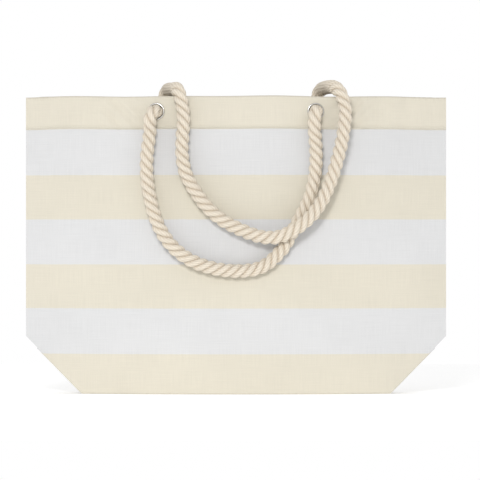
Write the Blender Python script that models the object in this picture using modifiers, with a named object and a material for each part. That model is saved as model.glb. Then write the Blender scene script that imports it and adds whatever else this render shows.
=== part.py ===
"""Striped canvas beach bag with two rope handles, standing ajar on its two bottom folds.

Metres, +Z up. The origin is on the floor under the middle of the bag. The front wall faces -Y.
"""

import math

import bmesh
import bpy
import numpy as np
from mathutils import Matrix

# Bag body
BAG_WIDTH = 0.540
BAG_HEIGHT = 0.380
GUSSET_DEPTH = 0.144
MOUTH_HALF_OPENING = 0.045
CLOTH = 0.001
GAP = 0.0003
FOLD_WIDTH = 0.003
FOLD_CHAMFER = 0.0007
CORNER_SLIT = 0.012

# Hem and seams
HEM_DEPTH = 0.042
HEM_INSIDE_INSET = 0.017
SEAM_ALLOWANCE = 0.012
SEAM_THICKNESS = 0.0016
SEAM_FREE_EDGE = 0.008
CORNER_SEAM_LEG = 0.72
LABEL_SIZE = (0.026, 0.048)
LABEL_THICKNESS = 0.0006
LABEL_TOP_DROP = 0.070

# Ropes and eyelets
ROPE_DIAMETER = 0.0165
EYELET_SPACING = 0.2032
EYELET_DROP = 0.0192
EYELET_FLANGE_DIAMETER = 0.0218
EYELET_FLANGE_HEIGHT = 0.0023
EYELET_WALL = 0.0008
EYELET_LIP_THICKNESS = 0.0006
EYELET_LIP_WIDTH = 0.0012
WASHER_DIAMETER = 0.024
WASHER_THICKNESS = 0.001
KNOT_SIZE = (0.043, 0.029, 0.040)
KNOT_SAG = 0.003
TAIL_LENGTH = 0.030
ROPE_POINT_SPACING = 0.020
HANDLE_CLEARANCE = 0.0017

HALF_WIDTH = BAG_WIDTH / 2
HALF_GUSSET = GUSSET_DEPTH / 2
HALF_BOTTOM = HALF_WIDTH - HALF_GUSSET
ROPE_RADIUS = ROPE_DIAMETER / 2
BORE_RADIUS = ROPE_RADIUS + GAP
BARREL_RADIUS = BORE_RADIUS + EYELET_WALL
CLOTH_HOLE_RADIUS = BARREL_RADIUS + GAP
FLANGE_RADIUS = EYELET_FLANGE_DIAMETER / 2
EYELET_HEIGHT = BAG_HEIGHT - EYELET_DROP
STACK = 3 * CLOTH + 2 * GAP
RING_SEGMENTS = 24

CANVAS = ("canvas", (0.86, 0.82, 0.72), 0.9, 0.0)
TAPE = ("seam_tape", (0.83, 0.79, 0.68), 0.9, 0.0)
ROPE = ("rope", (0.84, 0.78, 0.64), 0.85, 0.0)
NICKEL = ("nickel", (0.72, 0.72, 0.71), 0.3, 1.0)
LABEL = ("label", (0.93, 0.93, 0.92), 0.7, 0.0)

for old in list(bpy.data.objects):
    bpy.data.objects.remove(old, do_unlink=True)

parts = bpy.data.collections.new("beach_bag")
cutters = bpy.data.collections.new("beach_bag_cutters")
bpy.context.scene.collection.children.link(parts)
bpy.context.scene.collection.children.link(cutters)


def material(finish):
    name, colour, roughness, metallic = finish
    found = bpy.data.materials.get(name)
    if found:
        return found
    made = bpy.data.materials.new(name)
    made.use_nodes = True
    shader = made.node_tree.nodes["Principled BSDF"]
    shader.inputs["Base Color"].default_value = (*colour, 1.0)
    shader.inputs["Roughness"].default_value = roughness
    shader.inputs["Metallic"].default_value = metallic
    return made


def add_part(name, data, finish):
    part = bpy.data.objects.new(name, data)
    part.data.materials.clear()
    part.data.materials.append(material(finish))
    parts.objects.link(part)
    return part


def mesh_from(shape):
    bmesh.ops.recalc_face_normals(shape, faces=shape.faces)
    mesh = bpy.data.meshes.new("shape")
    shape.to_mesh(mesh)
    shape.free()
    return mesh


# ---- The cloth body ----


def wall_reach(x):
    """Distance from the middle plane to the outside of a wall, a lens that closes at the side seams."""
    return GAP / 2 + CLOTH + MOUTH_HALF_OPENING * (1 - (x / HALF_WIDTH) ** 2)


def fold_height(x):
    """Height of the bottom fold: level along the bottom, then rising at 45 degrees over each corner."""
    return max(0.0, abs(x) - HALF_BOTTOM)


def ridge_height(x):
    """Height of the ridge where the two halves of the folded-up bottom meet."""
    slope = HALF_GUSSET - fold_height(x) - FOLD_CHAMFER
    run = wall_reach(x) - FOLD_WIDTH - GAP / 2
    return fold_height(x) + FOLD_CHAMFER + math.sqrt(max(slope**2 - run**2, 0.0))


def wall_columns(limit):
    """Places along the width where the cloth bends, closest where the corner folds start."""
    corner = [HALF_BOTTOM - 1.5 * SEAM_FREE_EDGE, HALF_BOTTOM, limit]
    even = np.linspace(-limit, limit, 25)
    kept = [x for x in even if min(abs(abs(x) - place) for place in corner) > 0.006]
    return sorted([-x for x in corner] + kept + corner)


def sheet(name, side, columns, profile, finish):
    """A strip of cloth: one line of points per column, its outer face drawn and its thickness inside.

    A profile runs down the outside of the wall or climbs it. One that climbs has its faces reversed.
    """
    shape = bmesh.new()
    lines = []
    for x in columns:
        lines.append([shape.verts.new((x, side * reach, z)) for reach, z in profile(x)])
    for left, right in zip(lines, lines[1:]):
        for row in range(min(len(left), len(right)) - 1):
            shape.faces.new((left[row], left[row + 1], right[row + 1], right[row]))
    climbs = lines[0][1].co.z > lines[0][0].co.z
    if climbs != (side > 0):
        bmesh.ops.reverse_faces(shape, faces=shape.faces)
    mesh = bpy.data.meshes.new(name)
    shape.to_mesh(mesh)
    shape.free()
    part = add_part(name, mesh, finish)
    shell = part.modifiers.new("thickness", "SOLIDIFY")
    shell.thickness = CLOTH
    shell.offset = -1.0
    shell.use_even_offset = True
    return part


def panel_profile(x):
    """The wall from the top edge down, round the bottom fold and up to the ridge."""
    reach = wall_reach(x)
    low = fold_height(x)
    wall = [
        (reach, BAG_HEIGHT - CLOTH - GAP),
        (reach, BAG_HEIGHT - HEM_DEPTH),
        (reach, (BAG_HEIGHT + HALF_GUSSET) / 2),
        (reach, HALF_GUSSET + CORNER_SLIT),
        (reach, low + FOLD_CHAMFER),
    ]
    if abs(x) > HALF_WIDTH - CORNER_SLIT + GAP:
        return wall
    fold = [(reach - FOLD_CHAMFER, low), (reach - FOLD_WIDTH + FOLD_CHAMFER, low)]
    slope_foot = (reach - FOLD_WIDTH, low + FOLD_CHAMFER)
    ridge = (GAP / 2, ridge_height(x))
    middle = tuple((a + b) / 2 for a, b in zip(slope_foot, ridge))
    return wall + fold + [slope_foot, middle, ridge]


def band_reach(x):
    """Distance from the middle plane to the outside of the hem band."""
    return wall_reach(x) + CLOTH + GAP


def hem_profile(x):
    """The band folded over the top of the wall: up its outside, over it and down its inside."""
    low = BAG_HEIGHT - HEM_DEPTH
    outside = [(band_reach(x), low), (band_reach(x), BAG_HEIGHT)]
    if abs(x) > HALF_WIDTH - HEM_INSIDE_INSET + GAP:
        return outside + [(wall_reach(x) - CLOTH, BAG_HEIGHT)]
    inside = wall_reach(x) - 2 * CLOTH - GAP
    return outside + [(inside, BAG_HEIGHT), (inside, low)]


def eyelet_place(x_sign, side):
    """The middle of an eyelet on the outside of its wall, and its turn about Z to face outwards."""
    x = x_sign * EYELET_SPACING / 2
    tilt = math.atan(2 * MOUTH_HALF_OPENING * x / HALF_WIDTH**2)
    turn = tilt if side < 0 else math.pi - tilt
    return (x, side * band_reach(x), EYELET_HEIGHT), turn


def place_on_wall(part, x_sign, side):
    """Stands a piece modelled along local -Y on the wall, at the eyelet."""
    part.location, turn = eyelet_place(x_sign, side)
    part.rotation_euler = (0.0, 0.0, turn)


def eyelet_cutter(x_sign, side):
    shape = bmesh.new()
    bmesh.ops.create_cone(
        shape,
        cap_ends=True,
        segments=RING_SEGMENTS,
        radius1=CLOTH_HOLE_RADIUS,
        radius2=CLOTH_HOLE_RADIUS,
        depth=0.02,
    )
    bmesh.ops.rotate(shape, verts=shape.verts, matrix=ROUND_TO_Y)
    cutter = bpy.data.objects.new("eyelet_hole_cutter", mesh_from(shape))
    cutters.objects.link(cutter)
    cutter.hide_render = True
    cutter.display_type = "WIRE"
    place_on_wall(cutter, x_sign, side)
    return cutter


def cut(part, cutter):
    hole = part.modifiers.new("eyelet_hole", "BOOLEAN")
    hole.operation = "DIFFERENCE"
    hole.object = cutter


# Turns local +Z to local -Y, the way out of the front wall.
ROUND_TO_Y = Matrix.Rotation(math.radians(90), 3, "X")

body_columns = wall_columns(HALF_WIDTH - CORNER_SLIT)
body_columns = [-HALF_WIDTH, -HALF_WIDTH + CORNER_SLIT / 2, *body_columns]
body_columns += [HALF_WIDTH - CORNER_SLIT / 2, HALF_WIDTH]
hem_columns = wall_columns(HALF_WIDTH - HEM_INSIDE_INSET)
hem_columns = [-HALF_WIDTH, -HALF_WIDTH + HEM_INSIDE_INSET / 2, *hem_columns]
hem_columns += [HALF_WIDTH - HEM_INSIDE_INSET / 2, HALF_WIDTH]

for wall_name, wall_side in (("front", -1), ("back", 1)):
    panel = sheet(wall_name + "_panel", wall_side, body_columns, panel_profile, CANVAS)
    hem = sheet(wall_name + "_hem", wall_side, hem_columns, hem_profile, CANVAS)
    for x_sign in (-1, 1):
        hole_cutter = eyelet_cutter(x_sign, wall_side)
        cut(panel, hole_cutter)
        cut(hem, hole_cutter)


# ---- Seams and label inside the bag ----


def flat_strip(name, outline, thickness, finish):
    """A flat piece in the XZ plane, centred on the middle plane."""
    drawn = bpy.data.curves.new(name, "CURVE")
    drawn.dimensions = "2D"
    drawn.fill_mode = "BOTH"
    drawn.extrude = thickness / 2
    edge = drawn.splines.new("POLY")
    edge.points.add(len(outline) - 1)
    for point, (x, z) in zip(edge.points, outline):
        point.co = (x, z, 0.0, 1.0)
    edge.use_cyclic_u = True
    part = add_part(name, drawn, finish)
    part.rotation_euler = (math.pi / 2, 0.0, 0.0)
    return part


ridge_clear = CLOTH + GAP
seam_outer = HALF_WIDTH - SEAM_ALLOWANCE / 4
seam_inner = seam_outer - SEAM_ALLOWANCE
corner_outer = HALF_BOTTOM - GAP
corner_inner = corner_outer - SEAM_FREE_EDGE


def above_ridge(places, lift):
    return [(x, ridge_height(x) + lift) for x in places]


bottom_places = np.linspace(-corner_inner + GAP, corner_inner - GAP, 13)
bottom_outline = above_ridge(bottom_places, ridge_clear)
bottom_outline += above_ridge(bottom_places[::-1], ridge_clear + SEAM_FREE_EDGE)
flat_strip("bottom_seam", bottom_outline, SEAM_THICKNESS, TAPE)

for seam_name, x_sign in (("left", -1), ("right", 1)):
    run = np.linspace(HALF_BOTTOM + GAP, HALF_WIDTH - CORNER_SLIT, 4)
    lower = above_ridge(run, ridge_clear) + [(seam_outer, HALF_GUSSET + ridge_clear)]
    upper = above_ridge(run[run < seam_inner], ridge_clear + SEAM_FREE_EDGE)
    corner = (seam_inner, ridge_height(seam_inner) + ridge_clear + SEAM_FREE_EDGE)
    outline = lower + [(seam_outer, BAG_HEIGHT - GAP), (seam_inner, BAG_HEIGHT - GAP), corner] + upper[::-1]
    flat_strip(
        seam_name + "_side_seam", [(x_sign * x, z) for x, z in outline], SEAM_THICKNESS, TAPE
    )

label_width, label_height = LABEL_SIZE
label_edge = -seam_inner + GAP
label_top = BAG_HEIGHT - LABEL_TOP_DROP
flat_strip(
    "care_label",
    [
        (label_edge, label_top),
        (label_edge, label_top - label_height),
        (label_edge + label_width, label_top - label_height),
        (label_edge + label_width, label_top),
    ],
    LABEL_THICKNESS,
    LABEL,
)


def corner_seam(name, x_sign):
    """The boxed corner's seam, lying over the ridge between the two walls like a saddle."""
    inner, outer = x_sign * corner_inner, x_sign * corner_outer
    shape = bmesh.new()
    lines = []
    for x in (inner, outer):
        reach = wall_reach(x) - FOLD_WIDTH
        top = ridge_height(x)
        lean = math.atan2(reach, top)
        side_clear = (CLOTH + 4 * GAP) / math.cos(lean)
        foot = 1 - CORNER_SEAM_LEG
        foot_reach = reach * CORNER_SEAM_LEG + side_clear
        points = [
            (-foot_reach, top * foot),
            (-side_clear, top),
            (0.0, top + ridge_clear + GAP),
            (side_clear, top),
            (foot_reach, top * foot),
        ]
        lines.append([shape.verts.new((x, y, z)) for y, z in points])
    for row in range(4):
        shape.faces.new((lines[0][row], lines[0][row + 1], lines[1][row + 1], lines[1][row]))
    if x_sign > 0:
        bmesh.ops.reverse_faces(shape, faces=shape.faces)
    mesh = bpy.data.meshes.new(name)
    shape.to_mesh(mesh)
    shape.free()
    part = add_part(name, mesh, TAPE)
    shell = part.modifiers.new("thickness", "SOLIDIFY")
    shell.thickness = SEAM_THICKNESS
    shell.offset = 1.0


corner_seam("left_corner_seam", -1)
corner_seam("right_corner_seam", 1)


# ---- Eyelets, washers and the knotted rope ends ----


def turned_ring(name, profile, finish):
    """A ring turned about local Y from a closed (radius, height) profile that starts down its outer side."""
    shape = bmesh.new()
    points = [shape.verts.new((radius, 0.0, height)) for radius, height in profile]
    for here, there in zip(points, points[1:] + points[:1]):
        shape.edges.new((here, there))
    bmesh.ops.rotate(shape, verts=shape.verts, matrix=ROUND_TO_Y)
    mesh = bpy.data.meshes.new(name)
    shape.to_mesh(mesh)
    shape.free()
    part = add_part(name, mesh, finish)
    screw = part.modifiers.new("turn", "SCREW")
    screw.axis = "Y"
    screw.steps = RING_SEGMENTS
    screw.render_steps = RING_SEGMENTS
    screw.use_merge_vertices = True
    screw.merge_threshold = 0.00001
    screw.use_smooth_shade = True
    screw.use_normal_flip = True
    return part


washer_top = -STACK - 1.5 * GAP
washer_bottom = washer_top - WASHER_THICKNESS
lip_top = washer_bottom - GAP
lip_bottom = lip_top - EYELET_LIP_THICKNESS
EYELET_PROFILE = [
    (FLANGE_RADIUS - 0.0011, EYELET_FLANGE_HEIGHT),
    (FLANGE_RADIUS - 0.0004, EYELET_FLANGE_HEIGHT - 0.0005),
    (FLANGE_RADIUS, GAP + EYELET_LIP_THICKNESS),
    (FLANGE_RADIUS, GAP),
    (BARREL_RADIUS, GAP),
    (BARREL_RADIUS, lip_top),
    (BARREL_RADIUS + EYELET_LIP_WIDTH, lip_top),
    (BARREL_RADIUS + EYELET_LIP_WIDTH - GAP, lip_bottom),
    (BORE_RADIUS, lip_bottom),
    (BORE_RADIUS, EYELET_FLANGE_HEIGHT - 0.0008),
    (BORE_RADIUS + 0.0007, EYELET_FLANGE_HEIGHT),
]
WASHER_PROFILE = [
    (WASHER_DIAMETER / 2, washer_top),
    (WASHER_DIAMETER / 2, washer_bottom + GAP),
    (WASHER_DIAMETER / 2 - GAP, washer_bottom),
    (CLOTH_HOLE_RADIUS, washer_bottom),
    (CLOTH_HOLE_RADIUS, washer_top),
]


def knotted_end(name, tail_lean):
    """The rope through the eyelet, the overhand knot behind it and the short tail hanging from the knot."""
    knot_front = -lip_bottom + GAP
    width, depth, height = KNOT_SIZE
    middle_y = knot_front + depth / 2
    shapes = []
    stub = bmesh.new()
    stub_out = EYELET_FLANGE_HEIGHT
    stub_length = stub_out + middle_y
    bmesh.ops.create_cone(
        stub,
        cap_ends=True,
        segments=RING_SEGMENTS,
        radius1=ROPE_RADIUS,
        radius2=ROPE_RADIUS,
        depth=stub_length,
    )
    bmesh.ops.rotate(stub, verts=stub.verts, matrix=ROUND_TO_Y)
    bmesh.ops.translate(stub, verts=stub.verts, vec=(0.0, stub_length / 2 - stub_out, 0.0))
    shapes.append(stub)
    ball = bmesh.new()
    bmesh.ops.create_uvsphere(ball, u_segments=20, v_segments=12, radius=0.5)
    bmesh.ops.scale(ball, verts=ball.verts, vec=KNOT_SIZE)
    bmesh.ops.translate(ball, verts=ball.verts, vec=(0.0, middle_y, -KNOT_SAG))
    shapes.append(ball)
    tail = bmesh.new()
    tail_length = TAIL_LENGTH + height / 2
    bmesh.ops.create_cone(
        tail,
        cap_ends=True,
        segments=16,
        radius1=ROPE_RADIUS + 0.0015,
        radius2=ROPE_RADIUS - 0.0005,
        depth=tail_length,
    )
    bmesh.ops.translate(tail, verts=tail.verts, vec=(0.0, 0.0, -tail_length / 2))
    bmesh.ops.rotate(tail, verts=tail.verts, matrix=Matrix.Rotation(tail_lean, 3, "Y"))
    bmesh.ops.translate(tail, verts=tail.verts, vec=(0.0, middle_y + 0.001, -KNOT_SAG))
    shapes.append(tail)
    knot = add_part(name, mesh_from(shapes[0]), ROPE)
    for extra in shapes[1:]:
        joined = bpy.data.objects.new(name + "_joined_shape", mesh_from(extra))
        cutters.objects.link(joined)
        joined.hide_render = True
        joined.display_type = "WIRE"
        joined.parent = knot
        union = knot.modifiers.new("join", "BOOLEAN")
        union.operation = "UNION"
        union.object = joined
    return knot


for wall_name, side in (("front", -1), ("rear", 1)):
    for side_name, x_sign in (("left", -1), ("right", 1)):
        place_name = wall_name + "_" + side_name
        eyelet = turned_ring(place_name + "_eyelet", EYELET_PROFILE, NICKEL)
        washer = turned_ring(place_name + "_washer", WASHER_PROFILE, NICKEL)
        knot = knotted_end(place_name + "_knot", math.radians(14) * x_sign * -side)
        for piece in (eyelet, washer, knot):
            place_on_wall(piece, x_sign, side)


# ---- Rope handles ----

# Each handle swings about a line through its eyelets, clear of the eyelet's flange.
PIVOT_REACH = band_reach(EYELET_SPACING / 2) + EYELET_FLANGE_HEIGHT + ROPE_RADIUS + HANDLE_CLEARANCE
FRONT_PIVOT = (-PIVOT_REACH, EYELET_HEIGHT)
REAR_PIVOT = (PIVOT_REACH, EYELET_HEIGHT + 0.002)
# The rear handle bends over the front edge of the mouth about a second line.
DRAPE_PIVOT = (-PIVOT_REACH + 0.001, BAG_HEIGHT + 0.003)

# Route points: x, distance in front of the pivot line, height above it.
FRONT_ROUTE = [
    (-0.1030, 0.0, 0.0),
    (-0.1095, 0.0012, -0.021),
    (-0.1125, 0.0014, -0.049),
    (-0.1135, 0.0015, -0.081),
    (-0.1085, 0.0020, -0.115),
    (-0.0970, 0.0026, -0.149),
    (-0.0800, 0.0030, -0.173),
    (-0.0580, 0.0034, -0.1895),
    (-0.0330, 0.0036, -0.199),
    (-0.0080, 0.0038, -0.2032),
    (0.0140, 0.0038, -0.203),
    (0.0355, 0.0036, -0.197),
    (0.0520, 0.0034, -0.1835),
    (0.0630, 0.0032, -0.170),
    (0.0730, 0.0030, -0.151),
    (0.0850, 0.0027, -0.129),
    (0.0950, 0.0023, -0.106),
    (0.1005, 0.0020, -0.081),
    (0.1020, 0.0017, -0.056),
    (0.1005, 0.0014, -0.031),
    (0.1020, 0.0, 0.0),
]
REAR_ROUTE = [
    (-0.0725, 0.0, 0.0),
    (-0.0685, 0.0045, -0.015),
    (-0.0670, 0.0060, -0.040),
    (-0.0685, 0.0065, -0.063),
    (-0.0680, 0.0065, -0.083),
    (-0.0625, 0.0066, -0.105),
    (-0.0500, 0.0068, -0.127),
    (-0.0350, 0.0072, -0.146),
    (-0.0150, 0.0085, -0.1625),
    (0.0065, 0.0110, -0.1735),
    (0.0290, 0.0150, -0.1815),
    (0.0500, 0.0190, -0.183),
    (0.0710, 0.0215, -0.175),
    (0.0900, 0.0205, -0.161),
    (0.1070, 0.0170, -0.140),
    (0.1185, 0.0130, -0.116),
    (0.1275, 0.0100, -0.089),
    (0.1345, 0.0080, -0.061),
    (0.1385, 0.0065, -0.035),
    (0.1380, 0.0045, -0.014),
    (0.1330, 0.0, 0.0),
]
# Bend points: x, share of the way from the rear pivot to the drape pivot, height above the top edge.
LEFT_BEND = [
    (-0.1010, 0.0, None),
    (-0.0960, -0.01, -0.004),
    (-0.0900, 0.065, 0.0086),
    (-0.0865, 0.235, 0.0112),
    (-0.0830, 0.46, 0.0104),
    (-0.0790, 0.68, 0.0100),
    (-0.0755, 0.875, 0.0092),
    (-0.0725, 1.0, None),
]
RIGHT_BEND = [
    (0.1020, 0.0, None),
    (0.1040, -0.01, -0.004),
    (0.1080, 0.07, 0.0085),
    (0.1125, 0.235, 0.0125),
    (0.1175, 0.46, 0.0132),
    (0.1220, 0.68, 0.0128),
    (0.1275, 0.875, 0.0105),
    (0.1330, 1.0, None),
]


def smooth_route(points, spacing):
    """Evenly spaced points on a natural cubic spline through the route's points."""
    points = np.array(points, float)
    chord = np.linalg.norm(np.diff(points, axis=0), axis=1)
    count = len(points)
    system = np.eye(count)
    pull = np.zeros((count, 3))
    for i in range(1, count - 1):
        system[i, i - 1 : i + 2] = chord[i - 1], 2 * (chord[i - 1] + chord[i]), chord[i]
        ahead = (points[i + 1] - points[i]) / chord[i]
        behind = (points[i] - points[i - 1]) / chord[i - 1]
        pull[i] = 6 * (ahead - behind)
    bend = np.linalg.solve(system, pull)
    fine = [points[0]]
    for i in range(count - 1):
        for b in np.linspace(0, 1, 25)[1:]:
            a = 1 - b
            curved = (a**3 - a) * bend[i] + (b**3 - b) * bend[i + 1]
            fine.append(a * points[i] + b * points[i + 1] + curved * chord[i] ** 2 / 6)
    fine = np.array(fine)
    run = np.concatenate([[0.0], np.cumsum(np.linalg.norm(np.diff(fine, axis=0), axis=1))])
    even = np.linspace(0, run[-1], round(run[-1] / spacing) + 1)
    return np.stack([np.interp(even, run, fine[:, axis]) for axis in range(3)], axis=1)


def hanging_route(route, pivot):
    y, z = pivot
    return smooth_route([(x, y - ahead, z + rise) for x, ahead, rise in route], ROPE_POINT_SPACING)


def bend_route(route):
    """The stretch over the mouth. It stops short of the drape line, where the hanging loop turns."""
    points = []
    for x, share, rise in route:
        y = REAR_PIVOT[0] + share * (DRAPE_PIVOT[0] - REAR_PIVOT[0])
        if rise is None:
            z = REAR_PIVOT[1] if share == 0.0 else DRAPE_PIVOT[1]
        else:
            z = BAG_HEIGHT + rise
        points.append((x, y, z))
    path = smooth_route(points, 0.001)
    clear = np.hypot(path[:, 1] - DRAPE_PIVOT[0], path[:, 2] - DRAPE_PIVOT[1])
    path = path[clear > ROPE_RADIUS + 2 * GAP]
    return smooth_route(path[:: len(path) // 10], ROPE_POINT_SPACING / 2)


def rope(name, path, pivot):
    """A round tube along a path, with its origin on its pivot line."""
    y, z = pivot
    drawn = bpy.data.curves.new(name, "CURVE")
    drawn.dimensions = "3D"
    drawn.bevel_depth = ROPE_RADIUS
    drawn.bevel_resolution = 4
    drawn.use_fill_caps = True
    line = drawn.splines.new("POLY")
    line.points.add(len(path) - 1)
    for point, place in zip(line.points, path):
        point.co = (place[0], place[1] - y, place[2] - z, 1.0)
    part = add_part(name, drawn, ROPE)
    part.location = (0.0, y, z)
    return part


rope("front_handle_rope", hanging_route(FRONT_ROUTE, FRONT_PIVOT), FRONT_PIVOT)
rope("rear_handle_rope", hanging_route(REAR_ROUTE, DRAPE_PIVOT), DRAPE_PIVOT)
rope("rear_handle_left_bend", bend_route(LEFT_BEND), REAR_PIVOT)
rope("rear_handle_right_bend", bend_route(RIGHT_BEND), REAR_PIVOT)
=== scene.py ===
"""Striped canvas beach bag with knotted rope handles, standing in a plain pale studio."""

import math
import random

import bpy
import numpy as np
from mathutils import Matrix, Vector, noise


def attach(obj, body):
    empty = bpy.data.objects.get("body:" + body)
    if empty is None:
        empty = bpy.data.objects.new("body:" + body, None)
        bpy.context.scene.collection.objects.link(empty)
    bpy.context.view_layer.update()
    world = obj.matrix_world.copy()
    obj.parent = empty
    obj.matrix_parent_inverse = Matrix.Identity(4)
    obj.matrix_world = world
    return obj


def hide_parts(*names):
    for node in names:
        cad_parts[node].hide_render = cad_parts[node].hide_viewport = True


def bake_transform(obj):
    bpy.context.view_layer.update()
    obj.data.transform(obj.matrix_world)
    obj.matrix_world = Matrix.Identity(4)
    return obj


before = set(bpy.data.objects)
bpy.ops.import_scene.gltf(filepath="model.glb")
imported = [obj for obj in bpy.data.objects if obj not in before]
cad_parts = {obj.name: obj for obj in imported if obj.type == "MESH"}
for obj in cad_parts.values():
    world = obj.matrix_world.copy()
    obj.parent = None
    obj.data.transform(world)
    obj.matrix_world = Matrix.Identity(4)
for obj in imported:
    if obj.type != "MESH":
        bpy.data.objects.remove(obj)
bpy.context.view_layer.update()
scene = bpy.context.scene


# ---- Camera, floor and light ----
# A long lens looks straight at the front wall. The light is a pale sky all round and one
# soft lamp in front, above the bag and a little to the left.


def add_object(name, data):
    made = bpy.data.objects.new(name, data)
    scene.collection.objects.link(made)
    return made


camera_data = bpy.data.cameras.new("camera")
camera_data.lens = 300
camera = add_object("camera", camera_data)
camera.location = (0.0051, -5.1425, 0.1967)
camera.rotation_euler = (math.radians(90), 0, 0)
scene.camera = camera
scene.view_settings.view_transform = "Standard"

FLOOR_COLOUR = (0.93, 0.93, 0.93, 1)
FLOOR_GLOW = 0.30
SKY_STRENGTH = 0.72
LAMP_POWER = 75
LAMP_SIZE = 0.7
LAMP_PLACE = Vector((-0.38, -3.8, 1.35))
LAMP_AIM = Vector((0, 0, 0.2))

world = bpy.data.worlds.new("studio")
scene.world = world
world.use_nodes = True
tree = world.node_tree
sky = tree.nodes["Background"]
sky.inputs["Color"].default_value = (1, 1, 1, 1)
seen = tree.nodes.new("ShaderNodeLightPath")
strength = tree.nodes.new("ShaderNodeMapRange")
strength.inputs["To Min"].default_value = SKY_STRENGTH
tree.links.new(seen.outputs["Is Camera Ray"], strength.inputs["Value"])
tree.links.new(strength.outputs["Result"], sky.inputs["Strength"])

bpy.ops.mesh.primitive_plane_add(size=2.4, location=(0, 0, -0.0002))
floor = bpy.context.object
floor.name = "floor"
floor_material = bpy.data.materials.new("pale_floor")
floor_material.use_nodes = True
floor_shader = floor_material.node_tree.nodes["Principled BSDF"]
floor_shader.inputs["Base Color"].default_value = FLOOR_COLOUR
floor_shader.inputs["Roughness"].default_value = 0.9
floor_shader.inputs["Emission Strength"].default_value = FLOOR_GLOW
floor.data.materials.append(floor_material)

lamp_data = bpy.data.lights.new("soft_lamp", "AREA")
lamp_data.size = LAMP_SIZE
lamp_data.energy = LAMP_POWER
lamp = add_object("soft_lamp", lamp_data)
lamp.location = LAMP_PLACE
lamp.rotation_euler = (LAMP_PLACE - LAMP_AIM).to_track_quat("Z", "Y").to_euler()


# ---- Front handle ----
# One length of undyed cotton rope laid from three strands. It comes out of the left
# eyelet, hangs in a loop on the wall and goes back in at the right eyelet.

HALF_WIDTH = 0.270
BAG_HEIGHT = 0.380
MOUTH_HALF_OPENING = 0.045
CLOTH = 0.001
GAP = 0.0003
EYELET_X = 0.1016
EYELET_Z = 0.3608
# name, left -1 or right 1, front -1 or rear 1
EYELETS = (("front_left", -1, -1), ("front_right", 1, -1), ("rear_left", -1, 1), ("rear_right", 1, 1))
ROPE_DIAMETER = 0.0165
ROPE_PITCH = 0.0352
STRAND_CENTRE = 0.0045
STRAND_RADIAL = 0.00445
STRAND_AROUND = 0.0047
PINCH_DEPTH = 0.07
PINCH_REACH = 0.0065
UNEVENNESS = 0.022
RING_SPACING = 0.0016
POINTS_PER_STRAND = 14
EYELET_STEPS = (-0.015, -0.007, 0.001, 0.005)
FRONT_PIVOT = (-0.053328, 0.3608)
REAR_PIVOT = (0.053328, 0.3628)
DRAPE_PIVOT = (-0.052328, 0.383)

# x, distance in front of the pivot line, height above it
FRONT_ROUTE = [
    (-0.1095, 0.0012, -0.021),
    (-0.1125, 0.0014, -0.049),
    (-0.1135, 0.0015, -0.081),
    (-0.1085, 0.0020, -0.115),
    (-0.0970, 0.0026, -0.149),
    (-0.0800, 0.0030, -0.173),
    (-0.0580, 0.0034, -0.1895),
    (-0.0330, 0.0036, -0.199),
    (-0.0080, 0.0038, -0.2032),
    (0.0140, 0.0038, -0.203),
    (0.0355, 0.0036, -0.197),
    (0.0520, 0.0034, -0.1835),
    (0.0630, 0.0032, -0.170),
    (0.0730, 0.0030, -0.151),
    (0.0850, 0.0027, -0.129),
    (0.0950, 0.0023, -0.106),
    (0.1005, 0.0020, -0.081),
    (0.1020, 0.0017, -0.056),
    (0.1005, 0.0014, -0.031),
]


def wall_reach(x):
    """Distance from the middle plane to the outside of a wall, a lens that closes at the sides."""
    return GAP / 2 + CLOTH + MOUTH_HALF_OPENING * (1 - (x / HALF_WIDTH) ** 2)


def band_reach(x):
    """Distance from the middle plane to the outside of a hem band."""
    return wall_reach(x) + CLOTH + GAP


def eyelet_place(x_sign, side):
    """The middle of an eyelet on the outside of the hem band, and the way out of the bag there."""
    x = x_sign * EYELET_X
    tilt = math.atan(2 * MOUTH_HALF_OPENING * x / HALF_WIDTH**2)
    outward = Vector((math.sin(tilt), side * math.cos(tilt), 0))
    return Vector((x, side * band_reach(x), EYELET_Z)), outward


def through_eyelet(x_sign, side):
    """Points of a rope on its way out of the bag."""
    place, outward = eyelet_place(x_sign, side)
    return [place + outward * step for step in EYELET_STEPS]


def smooth_route(points, spacing):
    """Evenly spaced points on a natural cubic spline through the route's points."""
    points = np.array(points, float)
    chord = np.linalg.norm(np.diff(points, axis=0), axis=1)
    count = len(points)
    system = np.eye(count)
    pull = np.zeros((count, 3))
    for i in range(1, count - 1):
        system[i, i - 1 : i + 2] = chord[i - 1], 2 * (chord[i - 1] + chord[i]), chord[i]
        ahead = (points[i + 1] - points[i]) / chord[i]
        behind = (points[i] - points[i - 1]) / chord[i - 1]
        pull[i] = 6 * (ahead - behind)
    bend = np.linalg.solve(system, pull)
    fine = [points[0]]
    for i in range(count - 1):
        for b in np.linspace(0, 1, 25)[1:]:
            a = 1 - b
            curved = (a**3 - a) * bend[i] + (b**3 - b) * bend[i + 1]
            fine.append(a * points[i] + b * points[i + 1] + curved * chord[i] ** 2 / 6)
    fine = np.array(fine)
    run = np.concatenate([[0.0], np.cumsum(np.linalg.norm(np.diff(fine, axis=0), axis=1))])
    even = np.linspace(0, run[-1], round(run[-1] / spacing) + 1)
    return np.stack([np.interp(even, run, fine[:, axis]) for axis in range(3)], axis=1)


def strand_outline(angles):
    """Radius of the rope's outline at angles from the middle of the nearest strand."""
    across = np.cos(angles) ** 2 / STRAND_RADIAL**2 + np.sin(angles) ** 2 / STRAND_AROUND**2
    lean = STRAND_CENTRE * np.cos(angles) / STRAND_RADIAL**2
    inside = lean**2 - across * (STRAND_CENTRE**2 / STRAND_RADIAL**2 - 1)
    return (lean + np.sqrt(inside)) / across


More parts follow.
